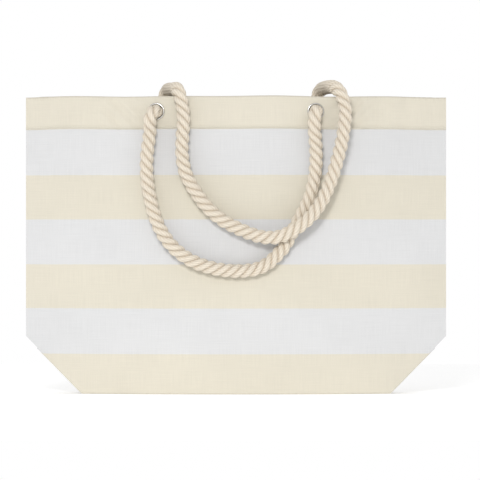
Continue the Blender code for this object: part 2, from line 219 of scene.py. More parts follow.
def rope_frames(path):
    """Two directions square to the path at each of its points, turning with it without twist."""
    ahead = np.gradient(path, axis=0)
    ahead /= np.linalg.norm(ahead, axis=1)[:, None]
    # Any direction that isn't along the rope's start will do.
    normal = np.cross(ahead[0], (0.37, 0.21, 0.9))
    normals = []
    for direction in ahead:
        normal = normal - normal.dot(direction) * direction
        normal = normal / np.linalg.norm(normal)
        normals.append(normal)
    normals = np.array(normals)
    return normals, np.cross(ahead, normals)


def pinch(place):
    """How far the eyelets squeeze the rope at a place: 1 is not at all."""
    reach = band_reach(EYELET_X)
    centre = (math.copysign(EYELET_X, place[0]), math.copysign(reach, place[1]), EYELET_Z)
    return 1 - PINCH_DEPTH * math.exp(-((math.dist(place, centre) / PINCH_REACH) ** 2))


def new_mesh(name, points, faces):
    mesh = bpy.data.meshes.new(name)
    mesh.from_pydata([tuple(point) for point in points], [], faces)
    return mesh


def laid_rope(name, path, first=0, last=None, tightness=1.0):
    """Three-strand rope along the path from ring first to ring last."""
    normals, sides = rope_frames(path)
    columns = 3 * POINTS_PER_STRAND
    around = np.arange(columns) * 2 * math.pi / columns
    in_strand = (around + math.pi / 3) % (2 * math.pi / 3) - math.pi / 3
    radii = strand_outline(in_strand) * tightness
    deep = 1 - (radii - radii.min()) / (radii.max() - radii.min())
    last = len(path) - 1 if last is None else last
    spacing = np.linalg.norm(path[1] - path[0])
    points = []
    for ring in range(first, last + 1):
        turn = -2 * math.pi * ring * spacing / ROPE_PITCH
        squeeze = pinch(path[ring])
        for angle, radius in zip(around + turn, radii):
            uneven = squeeze + UNEVENNESS * noise.noise(Vector((ring * 0.16, angle * 1.5, 7.3)))
            out = math.cos(angle) * normals[ring] + math.sin(angle) * sides[ring]
            points.append(path[ring] + out * radius * uneven)
    rings = last - first + 1
    faces = []
    for ring in range(rings - 1):
        for column in range(columns):
            here = ring * columns + column
            there = ring * columns + (column + 1) % columns
            faces.append((here, there, there + columns, here + columns))
    start_cap = tuple(reversed(range(columns)))
    end_cap = tuple(range((rings - 1) * columns, rings * columns))
    mesh = new_mesh(name, points, [*faces, start_cap, end_cap])
    uv = mesh.uv_layers.new(name="along_and_around")
    for face in mesh.polygons:
        face.use_smooth = len(face.vertices) == 4
        for loop in face.loop_indices:
            ring, column = divmod(mesh.loops[loop].vertex_index, columns)
            # The last column of faces ends at the first column's points, one turn further on.
            if column == 0 and loop - face.loop_start in (1, 2):
                column = columns
            uv.data[loop].uv = ((first + ring) * spacing, 3 * column / columns)
    # groove: 0 on the strand crowns, 1 deepest between strands; the rope material paints shade by it
    groove = mesh.attributes.new("groove", "FLOAT", "POINT")
    groove.data.foreach_set("value", np.tile(deep, rings).astype(np.float32))
    return add_object(name, mesh)


def add_node(tree, kind, **settings):
    made = tree.nodes.new(kind)
    for setting, value in settings.items():
        setattr(made, setting, value)
    return made


def feed(tree, socket, value):
    """Links an output to the socket, or sets the socket to a plain value."""
    if isinstance(value, bpy.types.NodeSocket):
        tree.links.new(value, socket)
    else:
        socket.default_value = value


def calculate(tree, operation, first, second=0.0):
    made = add_node(tree, "ShaderNodeMath", operation=operation)
    feed(tree, made.inputs[0], first)
    feed(tree, made.inputs[1], second)
    return made.outputs[0]


def blend_colours(tree, share, first, second, kind="MIX"):
    made = add_node(tree, "ShaderNodeMix", data_type="RGBA", blend_type=kind)
    feed(tree, made.inputs["Factor"], share)
    feed(tree, made.inputs[6], first)
    feed(tree, made.inputs[7], second)
    return made.outputs[2]


def noise_value(tree, vector, scale, detail=2.0):
    made = add_node(tree, "ShaderNodeTexNoise")
    feed(tree, made.inputs["Vector"], vector)
    made.inputs["Scale"].default_value = scale
    made.inputs["Detail"].default_value = detail
    return made.outputs["Fac"]


def stretched(tree, vector, scale):
    made = add_node(tree, "ShaderNodeMapping")
    feed(tree, made.inputs["Vector"], vector)
    made.inputs["Scale"].default_value = scale
    return made.outputs["Vector"]


def pattern_group(name):
    """An empty shader node group that takes a place and gives a height and a tone there."""
    group = bpy.data.node_groups.new(name, "ShaderNodeTree")
    group.interface.new_socket("Vector", in_out="INPUT", socket_type="NodeSocketVector")
    for socket in ("Height", "Tone"):
        group.interface.new_socket(socket, in_out="OUTPUT", socket_type="NodeSocketFloat")
    return group, group.nodes.new("NodeGroupInput"), group.nodes.new("NodeGroupOutput")


def use_pattern(tree, group, vector):
    made = add_node(tree, "ShaderNodeGroup", node_tree=group)
    feed(tree, made.inputs["Vector"], vector)
    return made


def new_material(name, colour, roughness, metallic=0.0):
    made = bpy.data.materials.new(name)
    made.use_nodes = True
    shader = made.node_tree.nodes["Principled BSDF"]
    shader.inputs["Base Color"].default_value = (*colour, 1)
    shader.inputs["Roughness"].default_value = roughness
    shader.inputs["Metallic"].default_value = metallic
    return made, made.node_tree, shader


def add_bump(tree, shader, height, distance):
    bump = add_node(tree, "ShaderNodeBump")
    bump.inputs["Distance"].default_value = distance
    feed(tree, bump.inputs["Height"], height)
    feed(tree, shader.inputs["Normal"], bump.outputs["Normal"])


# Yarns in a strand: they wind against the strand, so they run nearly along the rope.
YARNS_PER_STRAND = 5
YARN_WOBBLE = 0.10
FIBRE_RELIEF = 0.9
YARN_LEAN = 0.8 * 3 / ROPE_PITCH
yarns, yarns_in, yarns_out = pattern_group("laid_yarns")
rope_spot = yarns_in.outputs["Vector"]
split = add_node(yarns, "ShaderNodeSeparateXYZ")
feed(yarns, split.inputs[0], rope_spot)
slide = calculate(yarns, "MULTIPLY", split.outputs["X"], YARN_LEAN)
across_yarns = calculate(yarns, "SUBTRACT", split.outputs["Y"], slide)
wobble = noise_value(yarns, stretched(yarns, rope_spot, (260, 2, 1)), 1.0)
across_yarns = calculate(yarns, "ADD", across_yarns, calculate(yarns, "MULTIPLY", wobble, YARN_WOBBLE))
phase = calculate(yarns, "MULTIPLY", across_yarns, YARNS_PER_STRAND * math.pi)
rounded = calculate(yarns, "ABSOLUTE", calculate(yarns, "SINE", phase))
fibres = noise_value(yarns, stretched(yarns, rope_spot, (900, 26, 1)), 1.0, 3.0)
height = calculate(yarns, "ADD", rounded, calculate(yarns, "MULTIPLY", fibres, FIBRE_RELIEF))
feed(yarns, yarns_out.inputs["Height"], height)
# Tone: painted shade in the valleys between yarns and painted light on their crowns, times a random tone
# of loose fibres
painted_yarn_shading = calculate(yarns, "POWER", rounded, 0.6)
light_fibres = calculate(yarns, "ADD", fibres, 0.45)
feed(yarns, yarns_out.inputs["Tone"], calculate(yarns, "MULTIPLY", painted_yarn_shading, light_fibres))

GROOVE_SHADE_FALLOFF = 2.4
YARN_RELIEF = 0.0008
ROPE_COLOUR = (0.71, 0.625, 0.505, 1)
# Painted light on the yarn crowns, varied by the random tone of loose fibres
ROPE_CROWN_LIGHT_AND_FIBRE_TONE = (0.78, 0.705, 0.590, 1)
# Painted shade: the colour of the grooves between strands
ROPE_GROOVE_SHADE = (0.60, 0.500, 0.38, 1)
rope_material, tree, shader = new_material("laid_cotton_rope", ROPE_COLOUR[:3], 0.9)
rope_uv = add_node(tree, "ShaderNodeUVMap", uv_map="along_and_around").outputs["UV"]
yarn_look = use_pattern(tree, yarns, rope_uv)
colour = blend_colours(tree, yarn_look.outputs["Tone"], ROPE_COLOUR, ROPE_CROWN_LIGHT_AND_FIBRE_TONE)
# Painted shade: the rope colour darkens towards the groove colour in the grooves between strands,
# following the groove attribute
groove_look = add_node(tree, "ShaderNodeAttribute", attribute_name="groove")
depth = calculate(tree, "POWER", groove_look.outputs["Fac"], GROOVE_SHADE_FALLOFF)
feed(tree, shader.inputs["Base Color"], blend_colours(tree, depth, colour, ROPE_GROOVE_SHADE))
shader.inputs["Sheen Weight"].default_value = 0.12
shader.inputs["Sheen Roughness"].default_value = 0.6
add_bump(tree, shader, yarn_look.outputs["Height"], YARN_RELIEF)

pivot_y, pivot_z = FRONT_PIVOT
front_points = through_eyelet(-1, -1)
front_points += [(-0.1060, -0.0522, 0.3592), (-0.1092, -0.0558, 0.3515)]
front_points += [(x, pivot_y - ahead, pivot_z + rise) for x, ahead, rise in FRONT_ROUTE]
front_points += [(0.1000, -0.0556, 0.3515), (0.1010, -0.0520, 0.3590)]
front_points += through_eyelet(1, -1)[::-1]
front_path = smooth_route(front_points, RING_SPACING)
front_rope = laid_rope("front_handle", front_path)
front_rope.data.materials.append(rope_material)
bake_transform(front_rope)
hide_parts("front_handle_rope")


# ---- Rear handle ----
# A second, longer length of the same rope. It leaves the back wall, bends over the open
# mouth and hangs in front of the first handle. It is three meshes that meet end to end.

# x, distance in front of the drape line, height above it
REAR_ROUTE = [
    (-0.0725, 0.0, 0.0),
    (-0.0685, 0.0045, -0.015),
    (-0.0670, 0.0060, -0.040),
    (-0.0685, 0.0065, -0.063),
    (-0.0680, 0.0065, -0.083),
    (-0.0625, 0.0066, -0.105),
    (-0.0500, 0.0068, -0.127),
    (-0.0350, 0.0072, -0.146),
    (-0.0150, 0.0085, -0.1625),
    (0.0065, 0.0110, -0.1735),
    (0.0290, 0.0150, -0.1815),
    (0.0500, 0.0190, -0.183),
    (0.0710, 0.0215, -0.175),
    (0.0900, 0.0205, -0.161),
    (0.1070, 0.0170, -0.140),
    (0.1185, 0.0130, -0.116),
    (0.1275, 0.0100, -0.089),
    (0.1345, 0.0080, -0.061),
    (0.1385, 0.0065, -0.035),
    (0.1380, 0.0045, -0.014),
    (0.1330, 0.0, 0.0),
]
# x, share of the way from the rear pivot to the drape line, height above the top edge
LEFT_BEND = [
    (-0.0960, -0.01, -0.004),
    (-0.0900, 0.065, 0.0086),
    (-0.0865, 0.235, 0.0112),
    (-0.0830, 0.46, 0.0104),
    (-0.0790, 0.68, 0.0100),
    (-0.0755, 0.875, 0.0092),
]
RIGHT_BEND = [
    (0.1040, -0.01, -0.004),
    (0.1080, 0.07, 0.0085),
    (0.1125, 0.235, 0.0125),
    (0.1175, 0.46, 0.0132),
    (0.1220, 0.68, 0.0128),
    (0.1275, 0.875, 0.0105),
]
# The side meshes end here, over the mouth and above the eyelets.
SPLIT_Y = 0.024
SPLIT_RISE = 0.012


def over_mouth(route):
    span = DRAPE_PIVOT[0] - REAR_PIVOT[0]
    return [(x, REAR_PIVOT[0] + share * span, BAG_HEIGHT + rise) for x, share, rise in route]


drape_y, drape_z = DRAPE_PIVOT
rear_points = through_eyelet(-1, 1)
rear_points += [(-0.1008, 0.0520, 0.3640)]
rear_points += over_mouth(LEFT_BEND)
rear_points += [(x, drape_y - ahead, drape_z + rise) for x, ahead, rise in REAR_ROUTE]
rear_points += over_mouth(RIGHT_BEND)[::-1]
rear_points += [(0.1024, 0.0520, 0.3640)]
rear_points += through_eyelet(1, 1)[::-1]
rear_path = smooth_route(rear_points, RING_SPACING)
over_front = np.flatnonzero((rear_path[:, 1] < SPLIT_Y) & (rear_path[:, 2] > EYELET_Z + SPLIT_RISE))
split_left = int(over_front[0])
split_right = int(over_front[-1])
rear_left = laid_rope("rear_handle_left_end", rear_path, 0, split_left)
rear_rope = laid_rope("rear_handle", rear_path, split_left, split_right)
rear_right = laid_rope("rear_handle_right_end", rear_path, split_right)
for piece in (rear_left, rear_rope, rear_right):
    piece.data.materials.append(rope_material)
for piece in (rear_left, rear_right):
    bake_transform(piece)
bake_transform(rear_rope)
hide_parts("rear_handle_left_bend")
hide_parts("rear_handle_right_bend")
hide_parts("rear_handle_rope")


# ---- Knots ----
# Each rope end is an overhand knot with a short frayed tail, pulled against the washer
# inside the wall.

KNOT_SCALE = 0.0050
KNOT_DEPTH = 0.0070
KNOT_MIDDLE = 0.0206
KNOT_SAG = 0.003
KNOT_TIGHTNESS = 0.78
KNOT_START = 0.3
KNOT_END = 2 * math.pi - 0.35
KNOT_STEPS = 30
TAIL_TOP = 0.012
TAIL_DEPTH = 0.0205
TAIL_DROPS = (0.024, 0.038, 0.053)
TAIL_LEAN = 0.25
FIBRES_PER_TAIL = 70
FIBRE_LENGTH = 0.007
FIBRE_RADIUS = 0.00022
FIBRE_ROOT = 0.002
FIBRE_SPREAD = 0.6
TUFT_SHARE = 0.72


def knot_path(lean):
    """x, depth and height in the eyelet's own directions: in, three crossing turns, and down."""
    points = [(0, 0.004, 0), (0, 0.009, -0.001)]
    for t in np.linspace(KNOT_START, KNOT_END, KNOT_STEPS):
        x = KNOT_SCALE * (math.sin(t) + 2 * math.sin(2 * t))
        z = KNOT_SCALE * (math.cos(t) - 2 * math.cos(2 * t)) - KNOT_SAG
        points.append((x, KNOT_MIDDLE + KNOT_DEPTH * math.sin(3 * t), z))
    points.append((-0.001, 0.0170, -TAIL_TOP))
    for drop in TAIL_DROPS:
        points.append((lean * (drop - TAIL_TOP), TAIL_DEPTH, -drop))
    return smooth_route(points, RING_SPACING)


def fibre_tuft(name, middle, down, seed):
    """Loose yarn ends that spread from the cut end of a tail."""
    scatter = random.Random(seed)
    points = []
    faces = []
    for _ in range(FIBRES_PER_TAIL):
        turn = scatter.uniform(0, 2 * math.pi)
        reach = ROPE_DIAMETER / 2 * TUFT_SHARE * math.sqrt(scatter.random())
        aside = Vector((math.cos(turn), math.sin(turn), 0))
        root = middle + aside * reach
        spread = aside * (0.3 + 0.4 * scatter.random())
        tip = root + (down + spread * FIBRE_SPREAD).normalized() * FIBRE_LENGTH * scatter.uniform(0.6, 1.2)
        for place, radius in ((root - down * FIBRE_ROOT, FIBRE_RADIUS), (tip, FIBRE_RADIUS * 0.4)):
            for corner in range(3):
                angle = corner * 2 * math.pi / 3
                points.append(place + Vector((math.cos(angle), math.sin(angle), 0)) * radius)
        base = len(points) - 6
        faces += [(base + a, base + b, base + 3 + b, base + 3 + a) for a, b in ((1, 0), (2, 1), (0, 2))]
        faces += [(base, base + 1, base + 2), (base + 5, base + 4, base + 3)]
    return add_object(name, new_mesh(name, points, faces))


fibre_material, tree, shader = new_material("cotton_fibre", (0.82, 0.73, 0.60), 0.95)
fibre_spot = add_node(tree, "ShaderNodeTexCoord").outputs["Object"]
fibre_tone = noise_value(tree, fibre_spot, 900)
fibre_colour = blend_colours(tree, fibre_tone, (0.72, 0.62, 0.48, 1), (0.90, 0.83, 0.72, 1))
feed(tree, shader.inputs["Base Color"], fibre_colour)

for corner_name, x_sign, side in EYELETS:
    place, outward = eyelet_place(x_sign, side)
    across = Vector((outward.y, -outward.x, 0))
    local = knot_path(TAIL_LEAN * x_sign)
    world_path = [place + across * x - outward * deep + Vector((0, 0, z)) for x, deep, z in local]
    name = corner_name + "_knot"
    knot = laid_rope(name + "_rope", np.array(world_path), tightness=KNOT_TIGHTNESS)
    knot.data.materials.append(rope_material)
    tuft = fibre_tuft(name + "_tuft", world_path[-1], Vector((0, 0, -1)), name)
    tuft.data.materials.append(fibre_material)
    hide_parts(name)
    for piece in (knot, tuft):
        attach(piece, "bag")


# ---- Panels ----
# The front and back walls, each one piece of plain-weave cotton canvas in broad stripes.
# Each turns under at the bottom fold and runs up inside to the ridge of the boxed bottom.

WALLS = (("front", -1), ("back", 1))
HALF_BOTTOM = 0.198
HALF_GUSSET = 0.072
FOLD_WIDTH = 0.003
FOLD_RADIUS = 0.0014
CORNER_SLIT = 0.012
HOLE_RADIUS = 0.0098
PANEL_COLUMNS = 186
WALL_ROWS = 122
SLOPE_ROWS = 16
STRIPE_WAVER = 0.0009
STRIPE_EDGES = [0.0510, 0.1093, 0.1655, 0.2231, 0.2796, 0.3388]
CREAM = (0.676, 0.634, 0.532, 1)
WHITE = (0.660, 0.661, 0.664, 1)
THREAD_PITCH = 0.0009
THREAD_SWAY = 0.0006
WEAVE_RELIEF = 0.00022
DARKEST_TONE = 0.83
TONE_RANGE = 0.34
RIDGE_DROP = 0.0007
SLOPE_CLOTH = 0.062
TURN_CLOTH = 0.005
FRONT_SLACK = 0.00132
BACK_SLACK = 0.00504
FINE_SLACK = 0.00045
CREASE_X = 0.148
CREASE_Z = 0.360
CREASE_DEPTH = 0.0015
RIPPLE_DEPTH = 0.0008
BROAD_RISE = 0.0013
FINE_RISE = 0.0005
TURN_ANGLES = (30, 60, 90, 120, 150)


def eased(low, high, value):
    """0 at low and beyond it, 1 at high and beyond it, smooth between. Low may be the larger."""
    t = min(1.0, max(0.0, (value - low) / (high - low)))
    return t * t * (3 - 2 * t)


def hole_distance(x, z):
    """How far a place on the wall is from the middle of the nearest eyelet."""
    return math.hypot(abs(x) - EYELET_X, z - EYELET_Z)


def fold_height(x):
    """Height of the bottom fold, level along the bottom and rising over each corner."""
    return max(0.0, abs(x) - HALF_BOTTOM)


def wall_wave(x, z, side):
    """How far the slack canvas stands out from its even lens, fading out at seams and eyelets."""
    out = abs(x)
    away = hole_distance(x, z)
    free = eased(0.268, 0.215, out) * eased(0.0, 0.05, z - fold_height(x)) * eased(0.012, 0.042, away)
    broad = noise.noise(Vector((x * 7.5, z * 6.0, 3.1 * side)))
    fine = noise.noise(Vector((x * 24, z * 17 + x * 6, 9.7 * side)))
    slack = (FRONT_SLACK if side < 0 else BACK_SLACK) * broad + FINE_SLACK * fine
    near_eyelet = math.exp(-((out - CREASE_X) ** 2) / 0.0009 - (z - CREASE_Z) ** 2 / 0.0006)
    near_eyelet *= eased(0.010, 0.020, away)
    crease = math.sin((z - 0.8 * out) * 300 + noise.noise(Vector((x * 40, z * 30, 1.7))) * 2)
    near_top = eased(0.10, 0.16, out) * eased(0.265, 0.235, out) * eased(0.31, 0.37, z)
    ripple = math.sin(x * 170 + 1.2 * side)
    return free * slack + near_eyelet * crease * CREASE_DEPTH + near_top * ripple * RIPPLE_DEPTH


def top_wave(x, z, side):
    """Rise and fall of the cloth's top edge, most at the top."""
    rise = BROAD_RISE * noise.noise(Vector((x * 9, 4.4 * side, 0.5)))
    rise += FINE_RISE * math.sin(x * 47 + side)
    return rise * eased(0.24, 0.38, z) * eased(0.275, 0.24, abs(x))


def outer_point(x, z, side, lift=0.0):
    """A point of the wall's outer face, or one that stands outside it by the lift."""
    reach = wall_reach(x) + lift + wall_wave(x, z, side)
    return (x, side * reach, z + top_wave(x, z, side))


def ridge_height(x):
    """Height of the ridge where the two halves of the folded-up bottom meet."""
    slope = HALF_GUSSET - fold_height(x) - RIDGE_DROP
    run = wall_reach(x) - FOLD_WIDTH - GAP / 2
    return fold_height(x) + RIDGE_DROP + math.sqrt(max(slope**2 - run**2, 0.0))


def select_only(chosen):
    bpy.ops.object.select_all(action="DESELECT")
    bpy.context.view_layer.objects.active = chosen
    chosen.select_set(True)


def cloth_mesh(name, points, lengths, kept, side, thickness, offset=-1.0):
    """A closed cloth from a grid of points whose rows run down its outer face."""
    rows, columns = len(points), len(points[0])
    faces = []
    for row in range(rows - 1):
        for column in range(columns - 1):
            if not kept(row, column):
                continue
            here = row * columns + column
            face = (here, here + columns, here + columns + 1, here + 1)
            faces.append(face if side < 0 else face[::-1])
    mesh = new_mesh(name, [point for row in points for point in row], faces)
    uv = mesh.uv_layers.new(name="cloth")
    for loop in mesh.loops:
        row, column = divmod(loop.vertex_index, columns)
        uv.data[loop.index].uv = lengths[row][column]
    cloth = add_object(name, mesh)
    select_only(cloth)
    bpy.ops.object.mode_set(mode="EDIT")
    bpy.ops.mesh.select_all(action="SELECT")
    bpy.ops.mesh.delete_loose()
    bpy.ops.object.mode_set(mode="OBJECT")
    shell = cloth.modifiers.new("thickness", "SOLIDIFY")
    shell.thickness = thickness
    shell.offset = offset
    shell.use_even_offset = True
    bpy.ops.object.modifier_apply(modifier=shell.name)
    bpy.ops.object.shade_smooth_by_angle(angle=math.radians(50))
    return cloth


def clear_of_hole(x, z):
    """Moves a grid point that falls in an eyelet's hole out to the hole's edge."""
    away = hole_distance(x, z)
    if away >= HOLE_RADIUS:
        return x, z
    stretch = HOLE_RADIUS / max(away, 1e-6)
    centre = math.copysign(EYELET_X, x)
    return centre + (x - centre) * stretch, EYELET_Z + (z - EYELET_Z) * stretch


weave, weave_in, weave_out = pattern_group("plain_weave")
cloth_spot = weave_in.outputs["Vector"]
split = add_node(weave, "ShaderNodeSeparateXYZ")
feed(weave, split.inputs[0], cloth_spot)
uneven = noise_value(weave, stretched(weave, cloth_spot, (90, 90, 1)), 1.0)
sway = calculate(weave, "MULTIPLY", uneven, THREAD_SWAY)
waves = []
for axis in ("X", "Y"):
    spot = calculate(weave, "ADD", split.outputs[axis], sway)
    waves.append(calculate(weave, "SINE", calculate(weave, "MULTIPLY", spot, math.pi / THREAD_PITCH)))
sizes = [calculate(weave, "ABSOLUTE", wave) for wave in waves]
flats = [calculate(weave, "POWER", size, 0.4) for size in sizes]
warp_up = calculate(weave, "GREATER_THAN", calculate(weave, "MULTIPLY", *waves), 0.0)
warp_height = calculate(weave, "MULTIPLY", sizes[0], flats[1])
weft_height = calculate(weave, "MULTIPLY", flats[0], sizes[1])
weave_mix = add_node(weave, "ShaderNodeMix", data_type="FLOAT")
feed(weave, weave_mix.inputs["Factor"], warp_up)
feed(weave, weave_mix.inputs[2], weft_height)
feed(weave, weave_mix.inputs[3], warp_height)
feed(weave, weave_out.inputs["Height"], weave_mix.outputs[0])
slub_up = noise_value(weave, stretched(weave, cloth_spot, (1100, 30, 1)), 1.0, 3.0)
slub_across = noise_value(weave, stretched(weave, cloth_spot, (26, 1200, 1)), 1.0, 3.0)
broad_tone = noise_value(weave, stretched(weave, cloth_spot, (11, 11, 1)), 1.0, 4.0)
slub_tone = calculate(weave, "MULTIPLY", calculate(weave, "ADD", slub_up, slub_across), 0.35)
broad_share = calculate(weave, "MULTIPLY", broad_tone, 0.3)
feed(weave, weave_out.inputs["Tone"], calculate(weave, "ADD", slub_tone, broad_share))


def canvas_material(name, striped, plain=CREAM):
    """Cotton canvas of one plain colour, or with white stripes across the wall."""
    made, tree, shader = new_material(name, plain[:3], 0.92)
    cloth_uv = add_node(tree, "ShaderNodeUVMap", uv_map="cloth").outputs["UV"]
    look = use_pattern(tree, weave, cloth_uv)
    colour = plain
    if striped:
        up = add_node(tree, "ShaderNodeSeparateXYZ")
        feed(tree, up.inputs[0], cloth_uv)
        waver = noise_value(tree, stretched(tree, cloth_uv, (140, 20, 1)), 1.0)
        waver = calculate(tree, "MULTIPLY", waver, STRIPE_WAVER)
        waver = calculate(tree, "SUBTRACT", waver, STRIPE_WAVER / 2)
        level = calculate(tree, "ADD", up.outputs["Y"], waver)
        count = 0.0
        for edge in STRIPE_EDGES:
            count = calculate(tree, "ADD", count, calculate(tree, "GREATER_THAN", level, edge))
        odd = calculate(tree, "MODULO", count, 2.0)
        colour = blend_colours(tree, odd, plain, WHITE)
    darker = calculate(tree, "MULTIPLY_ADD", look.outputs["Tone"], TONE_RANGE)
    darker.node.inputs[2].default_value = DARKEST_TONE
    colour = blend_colours(tree, 1.0, colour, darker, "MULTIPLY")
    feed(tree, shader.inputs["Base Color"], colour)
    shader.inputs["Sheen Weight"].default_value = 0.08
    add_bump(tree, shader, look.outputs["Height"], WEAVE_RELIEF)
    return made


striped_canvas = canvas_material("striped_canvas", True)


def panel_grid(side):
    """Points down the wall, round the fold and up to the ridge, with their places in the cloth."""
    points = []
    lengths = []
    columns = np.linspace(-HALF_WIDTH, HALF_WIDTH, PANEL_COLUMNS)
    top = BAG_HEIGHT - CLOTH - GAP
    for row in range(WALL_ROWS):
        line = []
        cloth = []
        for x in columns:
            low = fold_height(x) + FOLD_RADIUS
            z = top - (top - low) * row / (WALL_ROWS - 1)
            hole_x, hole_z = clear_of_hole(x, z)
            line.append(outer_point(hole_x, hole_z, side))
            cloth.append((x, z))
        points.append(line)
        lengths.append(cloth)
    for turn in TURN_ANGLES:
        angle = math.radians(turn)
        sink = FOLD_RADIUS * math.sin(angle)
        back = FOLD_RADIUS * (1 - math.cos(angle))
        line = []
        for x in columns:
            z = fold_height(x) + FOLD_RADIUS - sink
            line.append((x, side * (wall_reach(x) - back), z))
        points.append(line)
        lengths.append([(x, fold_height(x) - FOLD_RADIUS * angle) for x in columns])
    for row in range(SLOPE_ROWS):
        share = row / (SLOPE_ROWS - 1)
        line = []
        for x in columns:
            foot = wall_reach(x) - 2 * FOLD_RADIUS
            low = fold_height(x) + FOLD_RADIUS
            reach = foot + (GAP / 2 - foot) * share
            line.append((x, side * max(reach, GAP / 2), low + (ridge_height(x) - low) * share))
        points.append(line)
        lengths.append([(x, fold_height(x) - TURN_CLOTH - SLOPE_CLOTH * share) for x in columns])
    return points, lengths, columns


for wall, side in WALLS:
    grid, cloth_lengths, columns = panel_grid(side)

    def keep(row, column):
        inner = max(abs(columns[column]), abs(columns[column + 1]))
        if row >= WALL_ROWS - 1:
            return inner < HALF_WIDTH - CORNER_SLIT
        corners = [cloth_lengths[r][c] for r in (row, row + 1) for c in (column, column + 1)]
        return any(hole_distance(x, z) > HOLE_RADIUS for x, z in corners)

    panel = cloth_mesh(wall + "_panel_cloth", grid, cloth_lengths, keep, side, CLOTH)
    panel.data.materials.append(striped_canvas)
    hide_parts(wall + "_panel")
    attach(panel, "bag")


# ---- Hem bands ----
# A band of plain canvas folded over the top of each wall, its lower edge turned under,
# held by one row of stitches near that edge and one near the top.

HEM_DEPTH = 0.042
HEM_INSIDE_INSET = 0.017
HEM_COLUMNS = 270
HEM_ROWS = 17
TURNED_EDGE = 0.0045
EDGE_THICKENING = 0.0001
EDGE_DIP = 0.0011
PUCKER_DEPTH = 0.00016
TOP_RADIUS = 0.0018
HEM_ROW_CLOTH = 0.0026
EDGE_SHARES = (0.75, 0.5, 0.35, 0.22, 0.12, 0.05, 0.0)
HEM_CREAM = (0.692, 0.648, 0.545, 1)


def hem_profile():
    """(level, share) down the band: level is the height, share is 0 inside the wall and 1 outside."""
    low = BAG_HEIGHT - HEM_DEPTH
    top = BAG_HEIGHT - TOP_RADIUS
    rows = [(z, 0.0) for z in np.linspace(low, top, HEM_ROWS)]
    for turn in TURN_ANGLES:
        angle = math.radians(turn)
        rows.append((top + TOP_RADIUS * math.sin(angle), (1 - math.cos(angle)) / 2))
    rows += [(z, 1.0) for z in np.linspace(top, low + TURNED_EDGE, HEM_ROWS)]
    rows += [(low + share * TURNED_EDGE, 1.0) for share in EDGE_SHARES]
    return rows


def hem_lift(x, level, share, side):
    """How far a point of the band stands outside the wall's outer face."""
    inside = -2 * CLOTH - GAP
    outside = CLOTH + GAP
    above_edge = level - (BAG_HEIGHT - HEM_DEPTH)
    edge = eased(TURNED_EDGE * 1.1, TURNED_EDGE * 0.6, above_edge)
    pucker = PUCKER_DEPTH * noise.noise(Vector((x * 130, level * 60, side))) * (1 - edge * 0.3)
    dip = eased(TURNED_EDGE * 0.35, 0.0, above_edge) * EDGE_DIP
    signed = 1 if share > 0.5 else -1
    return inside + (outside - inside) * share + signed * (edge * EDGE_THICKENING - dip + pucker)


hem_canvas = canvas_material("hem_canvas", False, HEM_CREAM)
hem_rows = hem_profile()
hem_columns = np.linspace(-HALF_WIDTH, HALF_WIDTH, HEM_COLUMNS)
for wall, side in WALLS:
    grid = []
    cloth_lengths = []
    for number, (level, share) in enumerate(hem_rows):
        line = []
        for x in hem_columns:
            hole_x, hole_z = clear_of_hole(x, level)
            lift = hem_lift(x, level, share, side)
            if abs(x) > HALF_WIDTH - HEM_INSIDE_INSET and share < 0.5:
                lift = max(lift, -CLOTH)
            line.append(outer_point(hole_x, hole_z, side, lift))
        grid.append(line)
        cloth_lengths.append([(x, number * HEM_ROW_CLOTH) for x in hem_columns])

    def keep(row, column):
        across = (hem_columns[column], hem_columns[column + 1])
        if hem_rows[row][1] < 0.5 and max(map(abs, across)) > HALF_WIDTH - HEM_INSIDE_INSET:
            return False
        levels = (hem_rows[row][0], hem_rows[row + 1][0])
        return any(hole_distance(x, z) > HOLE_RADIUS for x in across for z in levels)

    hem = cloth_mesh(wall + "_hem_band", grid, cloth_lengths, keep, side, CLOTH)
    hem.data.materials.append(hem_canvas)
    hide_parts(wall + "_hem")
    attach(hem, "bag")


# ---- Hem stitching ----
# Two rows of lockstitch in cotton thread through each hem, seen inside and outside. Each
# stitch is a short rounded thread that dips into the cloth at its ends.

STITCH_SPACING = 0.0033
STITCH_LENGTH = 0.0027
STITCH_RADIUS = 0.00033
STITCH_LEVELS = (0.3412, 0.3770)
STITCH_RISE = 0.00012
STITCH_MARGIN = 0.003
SLOPE_STEP = 0.001
THREAD_RELIEF = 0.0001
# Along the stitch as a share of its length, its thickness there, and how deep it sinks.
STITCH_SHAPE = ((-0.5, 0.45, 0.9), (-0.3, 1.0, 0.1), (0.3, 1.0, 0.1), (0.5, 0.45, 0.9))


def add_stitch(points, faces, middle, along, out):
    """One stitch: four rings of five points and two ends."""
    up = along.cross(out)
    base = len(points)
    for place, radius, sink in STITCH_SHAPE:
        centre = middle + along * STITCH_LENGTH * place - out * STITCH_RADIUS * sink
        for corner in range(5):
            angle = corner * 2 * math.pi / 5
            spoke = out * math.cos(angle) + up * math.sin(angle)
            points.append(centre + spoke * STITCH_RADIUS * radius)
    for ring in range(3):
        for corner in range(5):
            here = base + ring * 5 + corner
            there = base + ring * 5 + (corner + 1) % 5
            faces.append((here, here + 5, there + 5, there))
    faces.append(tuple(base + corner for corner in range(5)))
    faces.append(tuple(base + 15 + corner for corner in reversed(range(5))))


thread_material, tree, shader = new_material("cotton_thread", (0.74, 0.70, 0.60), 0.8)
thread_spot = add_node(tree, "ShaderNodeTexCoord").outputs["Object"]
thread_tone = noise_value(tree, stretched(tree, thread_spot, (2600, 2600, 2600)), 1.0)
thread_colour = blend_colours(tree, thread_tone, (0.66, 0.62, 0.51, 1), (0.80, 0.77, 0.68, 1))
feed(tree, shader.inputs["Base Color"], thread_colour)
add_bump(tree, shader, thread_tone, THREAD_RELIEF)

